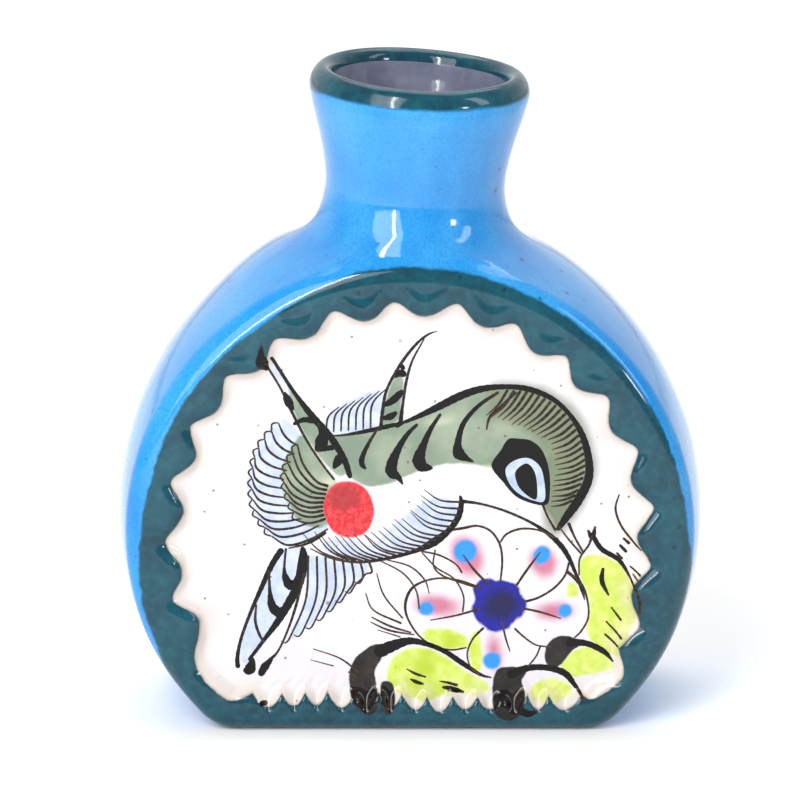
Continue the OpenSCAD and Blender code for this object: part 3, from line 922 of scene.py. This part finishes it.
class Brush:
    """Lays thin paint films on a face and gathers them into one mesh."""

    RAGGED = 0.05  # how much of its width a stroke's edge wavers
    FILM = 0.022  # height of the lowest stroke off the glaze, mm

    def __init__(self, obj, side):
        mesh = obj.data
        co = np.empty(len(mesh.vertices) * 3)
        mesh.vertices.foreach_get("co", co)
        self.tree = BVHTree.FromPolygons(
            (co.reshape(-1, 3) / MM).tolist(), [tuple(p.vertices) for p in mesh.polygons]
        )
        self.side = side
        self.v, self.n, self.f, self.m, self.load = [], [], [], [], []
        self.strokes = 0

    def drop(self, x, z, lift):
        """The point of the face at (x, z), lifted off it, and the face's normal there."""
        hit, normal, _, _ = self.tree.ray_cast(Vector((x, -60.0 * self.side, z)), Vector((0, self.side, 0)))
        if hit is None:
            return None, None
        if normal.y * self.side > 0:
            normal = -normal
        return hit + normal * lift, normal

    def put(self, pts, faces, load, mat, lift):
        """Lays one film; one that runs off the face is left out."""
        self.strokes += 1
        base = len(self.v)
        for x, z in pts:
            p, n = self.drop(x, z, lift)
            if p is None:
                del self.v[base:], self.n[base:], self.load[base:]
                return
            self.v.append(p)
            self.n.append(n)
        self.load += list(load)
        self.f += [tuple(base + i for i in f) for f in faces]
        self.m += [mat] * len(faces)

    def stroke(self, pts):
        """A ribbon through (x, z, width) points, with round ends and a slightly ragged edge."""
        pts = np.asarray(pts, float)
        total = np.linalg.norm(np.diff(pts[:, :2], axis=0), axis=1).sum()
        tip = np.array([0, 0.03, 0.08, 0.16])
        at = np.concatenate([tip, np.arange(0.3, total - 0.25, 0.3), total - tip[::-1]])
        at = np.unique(np.clip(at, 0, total))
        line = spline(pts, 300)
        d = np.concatenate([[0], np.cumsum(np.linalg.norm(np.diff(line[:, :2], axis=0), axis=1))])
        at = at * d[-1] / total
        p = np.stack([np.interp(at, d, line[:, i]) for i in range(3)], 1)
        w = np.maximum(p[:, 2], 0.1)
        for from_end in (at, d[-1] - at):
            cap = np.clip(from_end / (w / 2), 0, 1)
            w = w * np.maximum(np.sqrt(1 - (1 - cap) ** 2), 0.04)
        t = np.gradient(p[:, :2], axis=0)
        t /= np.maximum(np.linalg.norm(t, axis=1, keepdims=True), 1e-9)
        sideways = np.stack([-t[:, 1], t[:, 0]], 1)
        k = self.strokes
        w = w * (1 + self.RAGGED * (np.sin(at * 5.1 + k * 1.7) + 0.8 * np.sin(at * 11.3 + k * 0.9)))
        across = int(max(2, math.ceil(w.max() / 0.4) + 1))
        f = np.linspace(-0.5, 0.5, across)
        grid = p[:, None, :2] + sideways[:, None] * (f[None, :, None] * w[:, None, None])
        faces = []
        for row in range(0, (len(p) - 1) * across, across):
            for a in range(row, row + across - 1):
                faces.append((a, a + 1, a + across + 1, a + across))
        load = np.repeat(np.clip(w, 0, 1), across)
        # strokes that cross lie at slightly different heights
        self.put(grid.reshape(-1, 2), faces, load, 0, self.FILM + 0.0008 * (k % 24))

    def blot(self, outline_pts, mat, lift):
        """A filled shape."""
        loop = closed(outline_pts, 70)
        lo, hi = loop.min(0), loop.max(0)
        gx, gz = np.meshgrid(np.arange(lo[0], hi[0], 0.5), np.arange(lo[1], hi[1], 0.5))
        gx, gz = gx.ravel(), gz.ravel()
        keep = poly_distance(gx, gz, loop) < -0.25
        pts = np.concatenate([loop, np.stack([gx[keep], gz[keep]], 1)])
        res = delaunay_2d_cdt([Vector(p) for p in pts], [], [list(range(len(loop)))], 1, 1e-7)
        self.put([tuple(v) for v in res[0]], res[2], [1.0] * len(res[0]), mat, lift)

    def finish(self, name, mats):
        """Makes the mesh, with its faces turned outwards."""
        mesh = bpy.data.meshes.new(name)
        mesh.from_pydata([tuple(v * MM) for v in self.v], [], self.f)
        for m in mats:
            mesh.materials.append(m)
        mesh.polygons.foreach_set("material_index", self.m)
        mesh.polygons.foreach_set("use_smooth", [True] * len(self.f))
        a = mesh.attributes.new("load", "FLOAT", "POINT")
        a.data.foreach_set("value", self.load)
        mesh.update()
        flip = [p.normal.y * self.side > 0 for p in mesh.polygons]
        if any(flip):
            bm = bmesh.new()
            bm.from_mesh(mesh)
            bm.faces.ensure_lookup_table()
            bmesh.ops.reverse_faces(bm, faces=[f for f, w in zip(bm.faces, flip) if w])
            bm.to_mesh(mesh)
            bm.free()
        mesh.normals_split_custom_set_from_vertices([tuple(n) for n in self.n])
        obj = in_scene(name, mesh)
        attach(obj, "root")


# ------------------------------------------------------------- materials
SHADE = 0.86  # keeps the colours below clipping in the studio light


def linear(level):
    """One display level 0-255 to linear, darkened a little."""
    level /= 255
    if level <= 0.04045:
        return SHADE * level / 12.92
    return SHADE**2 * ((level + 0.055) / 1.055) ** 2.4


def srgb(r, g, b):
    """A display colour to linear."""
    return linear(r), linear(g), linear(b)


class Nodes:
    """A small helper for building a material's node tree."""

    def __init__(self, name):
        self.mat = bpy.data.materials.new(name)
        self.mat.use_nodes = True
        self.tree = self.mat.node_tree
        self.bsdf = self.tree.nodes["Principled BSDF"]
        self.co = self.new("ShaderNodeTexCoord").outputs["Object"]

    def new(self, kind, **props):
        node = self.tree.nodes.new(kind)
        for k, v in props.items():
            setattr(node, k, v)
        return node

    def link(self, a, b):
        self.tree.links.new(a, b)

    def attr(self, name):
        return self.new("ShaderNodeAttribute", attribute_name=name).outputs["Fac"]

    def noise(self, scale, detail=3.0, rough=0.5, stretch=None):
        n = self.new("ShaderNodeTexNoise")
        n.inputs["Scale"].default_value = scale
        n.inputs["Detail"].default_value = detail
        n.inputs["Roughness"].default_value = rough
        if stretch:
            m = self.new("ShaderNodeMapping")
            m.inputs["Scale"].default_value = stretch
            self.link(self.co, m.inputs["Vector"])
            self.link(m.outputs["Vector"], n.inputs["Vector"])
        else:
            self.link(self.co, n.inputs["Vector"])
        return n.outputs["Fac"]

    def math(self, op, a, b):
        n = self.new("ShaderNodeMath", operation=op)
        for i, v in enumerate((a, b)):
            if isinstance(v, (int, float)):
                n.inputs[i].default_value = v
            else:
                self.link(v, n.inputs[i])
        return n.outputs[0]

    def ramp(self, value, lo, hi, a=0.0, b=1.0):
        n = self.new("ShaderNodeMapRange", interpolation_type="SMOOTHSTEP")
        self.link(value, n.inputs["Value"])
        n.inputs["From Min"].default_value = lo
        n.inputs["From Max"].default_value = hi
        n.inputs["To Min"].default_value = a
        n.inputs["To Max"].default_value = b
        return n.outputs["Result"]

    def patches(self, scale, detail, rough, lo, hi, stretch=None):
        """Noise turned into soft-edged patches, 0 to 1."""
        return self.ramp(self.noise(scale, detail, rough, stretch), lo, hi)

    def mix(self, fac, a, b):
        n = self.new("ShaderNodeMix", data_type="RGBA", blend_type="MIX")
        for sock, v in ((n.inputs[0], fac), (n.inputs[6], a), (n.inputs[7], b)):
            if isinstance(v, (int, float)):
                sock.default_value = v
            elif isinstance(v, tuple):
                sock.default_value = (*v, 1)
            else:
                self.link(v, sock)
        return n.outputs[2]

    def tint(self, base, mask, amount, colour):
        """The base with a colour laid over it through a mask."""
        return self.mix(self.math("MULTIPLY", mask, amount), base, colour)

    def bump(self, *layers):
        """layers of (height, distance in metres, strength)"""
        last = None
        for h, dist, strength in layers:
            n = self.new("ShaderNodeBump")
            n.inputs["Distance"].default_value = dist
            n.inputs["Strength"].default_value = strength
            self.link(h, n.inputs["Height"])
            if last is not None:
                self.link(last, n.inputs["Normal"])
            last = n.outputs["Normal"]
        self.link(last, self.bsdf.inputs["Normal"])

    def glaze(self, rough=0.07, ior=1.45):
        b = self.bsdf
        b.inputs["IOR"].default_value = ior
        r = self.ramp(self.noise(60, 3), 0.35, 0.7, rough, rough + 0.09)
        self.link(r, b.inputs["Roughness"])

    def colour(self, c):
        self.link(c, self.bsdf.inputs["Base Color"])


def specks(n, scale, size, seed=0.0):
    """Small sparse pin marks: 1 at a mark."""
    m = n.new("ShaderNodeMapping")
    m.inputs["Location"].default_value = (seed, seed * 0.7, seed * 1.3)
    n.link(n.co, m.inputs["Vector"])
    v = n.new("ShaderNodeTexVoronoi")
    v.inputs["Scale"].default_value = scale
    n.link(m.outputs["Vector"], v.inputs["Vector"])
    split = n.new("ShaderNodeSeparateColor")
    n.link(v.outputs["Color"], split.inputs[0])
    pick = n.ramp(split.outputs[0], 0.62, 0.66)
    near = n.ramp(v.outputs["Distance"], size, size * 0.45)
    return n.math("MULTIPLY", pick, near)


def blue_colour(n):
    """Cloudy, grainy blue with a few dark flecks."""
    cloud = n.patches(45, 4, 0.55, 0.32, 0.7)
    streak = n.patches(90, 3, 0.5, 0.4, 0.68, (1.6, 1.6, 0.35))
    c = n.mix(cloud, srgb(18, 142, 222), srgb(46, 168, 240))
    c = n.tint(c, streak, 0.35, srgb(84, 182, 242))
    grain = n.patches(2200, 2, 0.7, 0.36, 0.66)
    c = n.tint(c, grain, 0.38, srgb(6, 112, 196))
    fleck = n.patches(900, 2, 0.6, 0.66, 0.74)
    c = n.tint(c, fleck, 0.4, srgb(2, 74, 160))
    return n.tint(c, specks(n, 260, 0.16, 0.3), 0.75, srgb(12, 40, 86))


def blue_glaze():
    """Glossy blue of the side and the neck."""
    n = Nodes("blue_glaze")
    n.colour(blue_colour(n))
    n.glaze(0.05, 1.58)
    n.bump((n.noise(140, 2, 0.5), 0.0006, 0.12), (n.noise(700, 2, 0.5), 0.0001, 0.1))
    return n.mat


def teal_colour(n):
    """Deep teal, mottled."""
    cloud = n.patches(110, 4, 0.6, 0.3, 0.72)
    c = n.mix(cloud, srgb(4, 60, 78), srgb(14, 82, 98))
    fine = n.patches(600, 3, 0.6, 0.4, 0.7)
    c = n.tint(c, fine, 0.35, srgb(30, 104, 118))
    return n.tint(c, specks(n, 240, 0.15, 0.9), 0.6, srgb(6, 28, 36))


def lip_glaze():
    """Teal over the rim, running out into the blue of the neck below it."""
    n = Nodes("lip_glaze")
    split = n.new("ShaderNodeSeparateXYZ")
    n.link(n.co, split.inputs[0])
    level = n.math("ADD", split.outputs["Z"], n.math("MULTIPLY", split.outputs["X"], 0.045))
    run = n.math("MULTIPLY", n.math("SUBTRACT", n.noise(70, 3, 0.5), 0.5), 0.002)
    m = n.ramp(n.math("ADD", level, run), 0.1083, 0.1092)
    n.colour(n.mix(m, blue_colour(n), teal_colour(n)))
    n.glaze(0.06)
    n.bump((n.noise(150, 2, 0.5), 0.0006, 0.12), (n.noise(800, 2, 0.5), 0.0001, 0.12))
    return n.mat


def face_glaze(name):
    """White panel, teal border, the painter's washes and painted shade along the panel's sunk edge."""
    n = Nodes(name)
    wob = n.math("SUBTRACT", n.noise(420, 3, 0.55), 0.5)
    soft = n.math("SUBTRACT", n.noise(160, 3, 0.55), 0.5)
    cloud = n.patches(60, 3, 0.5, 0.35, 0.7)
    c = n.mix(cloud, srgb(240, 237, 243), srgb(231, 226, 236))
    rim = n.attr("rim_d")

    def at(value, amount, wave=wob):
        return n.math("ADD", value, n.math("MULTIPLY", wave, amount))

    def wash(shape, col, edge, amount, blur, keep=1.0, wave=wob):
        nonlocal c
        m = n.ramp(at(n.attr(shape), amount, wave), blur - edge, -blur - edge)
        if keep != 1.0:
            m = n.math("MULTIPLY", m, keep)
        c = n.mix(m, c, col)

    grain = n.patches(500, 3, 0.6, 0.35, 0.68)
    pale = n.mix(grain, srgb(190, 205, 240), srgb(214, 224, 247))
    wash("blue", pale, 0.1, 0.8, 0.35, 0.95)
    body = n.mix(n.patches(120, 3, 0.5, 0.35, 0.66), srgb(128, 148, 128), srgb(162, 174, 152))
    body = n.mix(n.patches(55, 2, 0.5, 0.56, 0.72, (1, 1, 2.2)), body, srgb(220, 220, 190))
    wash("green", body, 0.1, 0.7, 0.3)
    wash("crown", srgb(118, 128, 98), -1.6, 1.4, 1.2, 0.75, soft)
    leaf = n.mix(grain, srgb(204, 226, 84), srgb(226, 240, 130))
    leaf = n.mix(n.patches(130, 2, 0.5, 0.52, 0.7), leaf, srgb(188, 212, 52))
    wash("leaf", leaf, 0.1, 0.8, 0.35)
    wash("pink", srgb(204, 104, 138), 0.7, 1.5, 1.1, 0.9, soft)
    wash("dot", srgb(38, 150, 240), 0.1, 0.7, 0.35)
    red = n.mix(n.patches(1100, 2, 0.7, 0.42, 0.6), srgb(214, 34, 44), srgb(244, 70, 78))
    wash("red", red, 0.0, 0.5, 0.2)
    wash("dark", srgb(168, 44, 52), -0.2, 1.6, 0.9, 0.8)
    wash("royal", srgb(0, 6, 156), -0.1, 1.5, 0.3)
    wash("navy", srgb(0, 0, 76), 0.0, 1.9, 1.2)
    # painted shade: a cream-brown band down the panel's sunk edge, standing in for the shade of the recess
    # wall
    painted_rim_shade = n.ramp(at(rim, 3.2, soft), 4.6, 0.2)
    c = n.tint(c, painted_rim_shade, 0.5, srgb(224, 208, 184))
    # painted shade: a darker brown line in the crease where the white panel meets the border
    edge = n.ramp(at(rim, 0.5), 0.55, 0.05)
    c = n.tint(c, edge, 0.5, srgb(170, 150, 128))
    c = n.tint(c, specks(n, 150, 0.1, 0.5), 0.7, srgb(120, 88, 60))
    c = n.tint(c, specks(n, 430, 0.13, 0.2), 0.8, srgb(104, 78, 60))
    border = n.ramp(at(rim, 0.55), 0.14, -0.14)
    c = n.mix(border, c, teal_colour(n))
    brown = n.mix(n.patches(260, 3, 0.6, 0.42, 0.7), srgb(10, 8, 8), srgb(46, 34, 28))
    wash("blob", brown, 0.1, 0.7, 0.15)
    over = n.ramp(at(n.attr("blue_d"), 0.9), 0.3, -0.3)
    c = n.mix(over, c, blue_colour(n))
    n.colour(c)
    n.glaze(0.07)
    n.bump((n.noise(130, 2, 0.5), 0.0006, 0.1), (n.noise(650, 2, 0.5), 0.0001, 0.08))
    return n.mat


def ink_paint(name, thin, thick):
    """Brushed pigment, darker where a stroke's load is high."""
    n = Nodes(name)
    load = n.attr("load")
    grain = n.math("SUBTRACT", n.noise(1400, 3, 0.6), 0.5)
    m = n.ramp(n.math("ADD", load, n.math("MULTIPLY", grain, 0.9)), 0.15, 0.75)
    n.colour(n.mix(m, thin, thick))
    n.glaze(0.05, 1.32)
    n.bump((n.noise(650, 2, 0.5), 0.0001, 0.08))
    return n.mat


def flat_paint(name, a, b):
    """A thin even paint in two close tones."""
    n = Nodes(name)
    n.colour(n.mix(n.patches(500, 3, 0.6, 0.35, 0.68), a, b))
    n.glaze(0.08)
    n.bump((n.noise(650, 2, 0.5), 0.0001, 0.08))
    return n.mat


def liner_glaze():
    """Grey glaze of the inside."""
    n = Nodes("liner_glaze")
    c = n.mix(n.patches(120, 4, 0.6, 0.3, 0.7), srgb(118, 122, 146), srgb(150, 152, 172))
    c = n.mix(n.patches(40, 2, 0.5, 0.5, 0.7, (1, 1, 0.3)), c, srgb(96, 104, 132))
    n.colour(c)
    n.glaze(0.06)
    n.bump((n.noise(180, 2, 0.5), 0.0006, 0.25))
    return n.mat


def bare_clay():
    """Unglazed, pale and gritty."""
    n = Nodes("bare_clay")
    c = n.mix(n.patches(70, 5, 0.6, 0.3, 0.7), srgb(196, 172, 140), srgb(222, 204, 176))
    c = n.tint(c, n.patches(900, 3, 0.7, 0.5, 0.7), 0.6, srgb(150, 122, 92))
    n.colour(c)
    n.link(n.ramp(n.noise(300, 3), 0.3, 0.7, 0.62, 0.85), n.bsdf.inputs["Roughness"])
    n.bump((n.noise(900, 4, 0.6), 0.0002, 0.6))
    return n.mat


def pale_floor():
    """Matt and nearly white."""
    m = bpy.data.materials.new("pale_floor")
    m.use_nodes = True
    b = m.node_tree.nodes["Principled BSDF"]
    b.inputs["Base Color"].default_value = (0.93, 0.93, 0.93, 1)
    b.inputs["Roughness"].default_value = 0.8
    return m


# ------------------------------------------------- pieces and their washes
blue = blue_glaze()
front_nodes, back_nodes = ("front_slab", "front_border"), ("back_slab", "back_border")
front_obj, front_used = build("front_face", face_glaze("face_glaze"), front_nodes)
back_obj, back_used = build("back_face", face_glaze("back_glaze"), back_nodes)
build("side_wall", blue, ("wall_strip",))
build("foot", bare_clay(), ("foot_slab",))
build("neck", blue, ("neck_collar",))
build("lip", lip_glaze(), ("lip_coil",))
build("liner", liner_glaze(), ())


def store(obj, name, values):
    """Keeps one number per vertex for the materials."""
    a = obj.data.attributes.new(name, "FLOAT", "POINT")
    a.data.foreach_set("value", np.asarray(values, np.float32))


# rim_d and blue_d are distances past the edges of the border's teal and of the side's blue
for obj, used, relief, painting in (
    (front_obj, front_used, FRONT, WASH),
    (back_obj, back_used, BACK, back_wash()),
):
    p = ALL[used]
    x, z = p[:, 0], p[:, 2]
    rolled = np.abs(p[:, 1]) < HALF_D - PANEL_DEPTH - 0.6
    _, d = relief(x, z)
    d = np.where(rolled, -3.0, np.clip(d, -3, 6))
    store(obj, "rim_d", d)
    turn = np.degrees(np.arctan2(x, z - ZC))
    band = 0.5 + 2.2 * smoothstep(-112, -75, turn) * smoothstep(-8, -35, turn)
    band += 0.5 * smoothstep(10, 40, turn) * smoothstep(100, 70, turn)
    band -= 2.6 * smoothstep(86, 108, turn) + 2.0 * smoothstep(-112, -128, turn)
    store(obj, "blue_d", np.clip(-edge_distance(x, z) - band, -4, 4))
    for name, shapes in painting.items():
        store(obj, name, washes(x, z, shapes))

# ----------------------------------------------------------- the drawing
INK = ink_paint("ink", srgb(74, 58, 44), srgb(12, 10, 9))
INK_BROWN = ink_paint("ink_brown", srgb(86, 62, 40), srgb(16, 11, 8))
EYE_BLUE = flat_paint("eye_blue", srgb(176, 196, 222), srgb(206, 220, 238))
bird = Brush(front_obj, 1)
for points in BIRD + bird_rows():
    bird.stroke(points)
for shape, mat, lift in ((EYE, 0, 0.05), (EYE_RING, 1, 0.07), (PUPIL, 0, 0.09)):
    bird.blot(shape, mat, lift)
bird.finish("bird_drawing", [INK, EYE_BLUE])
for name, strokes, obj, side in (
    ("flower_drawing", PETALS, front_obj, 1),
    ("leaf_drawing", LEAVES, front_obj, 1),
    ("back_drawing", inks_back(), back_obj, -1),
):
    brush = Brush(obj, side)
    for points in strokes:
        brush.stroke(points)
    brush.finish(name, [INK_BROWN])

# ---------------------------------------------------------- stage, camera
floor_mesh = bpy.data.meshes.new("floor")
floor_mesh.from_pydata([(-6, -6, 0), (6, -6, 0), (6, 6, 0), (-6, 6, 0)], [], [(0, 1, 2, 3)])
floor = in_scene("floor", floor_mesh)
floor_mesh.materials.append(pale_floor())

world = bpy.data.worlds.new("studio")
SCENE.world = world
world.use_nodes = True
wn, wl = world.node_tree.nodes, world.node_tree.links
towards = wn.new("ShaderNodeSeparateXYZ")
wl.new(wn.new("ShaderNodeTexCoord").outputs["Generated"], towards.inputs[0])
glow = wn.new("ShaderNodeMapRange")
glow.interpolation_type = "SMOOTHSTEP"
wl.new(towards.outputs["Y"], glow.inputs["Value"])
for socket, value in (("From Min", -0.1), ("From Max", 0.7), ("To Min", 0.42), ("To Max", 1.0)):
    glow.inputs[socket].default_value = value
wl.new(glow.outputs["Result"], wn["Background"].inputs["Strength"])
wn["Background"].inputs["Color"].default_value = (1, 1, 1, 1)


def softbox(name, place, aim, size, power):
    data = bpy.data.lights.new(name, "AREA")
    data.shape = "RECTANGLE"
    data.size, data.size_y = size
    data.energy = power
    obj = in_scene(name, data)
    obj.location = place
    obj.rotation_euler = (Vector(aim) - Vector(place)).to_track_quat("-Z", "Y").to_euler()


softbox("window", (-0.6, -0.95, 0.72), (0, 0, 0.06), (0.8, 1.25), 13)
softbox("window_bar", (-0.42, -0.96, 0.68), (0, 0, 0.06), (0.07, 1.2), 6.5)
softbox("top", (0.05, 0.6, 1.5), (0, 0.05, 0), (1.4, 1.2), 11)
softbox("pane", (0.76, -0.63, 0.3), (0, 0, 0.09), (0.1, 0.12), 0.9)
softbox("right", (1.0, -0.35, 0.7), (0, 0, 0.06), (0.2, 0.7), 1.8)

CAM_D = 1.0  # m
CAM_EL = math.radians(15.3)
LENS = 261.27  # mm, for a sensor 36 mm wide
TARGET = Vector((-1.7 * MM, 0, 53.5 * MM))
cam_data = bpy.data.cameras.new("camera")
cam = in_scene("camera", cam_data)
cam_data.sensor_width = 36
cam_data.lens = LENS
cam_data.clip_start = 0.01
cam.location = TARGET + CAM_D * Vector((0, -math.cos(CAM_EL), math.sin(CAM_EL)))
cam.rotation_euler = (TARGET - cam.location).to_track_quat("-Z", "Y").to_euler()
SCENE.camera = cam
SCENE.view_settings.view_transform = "Standard"
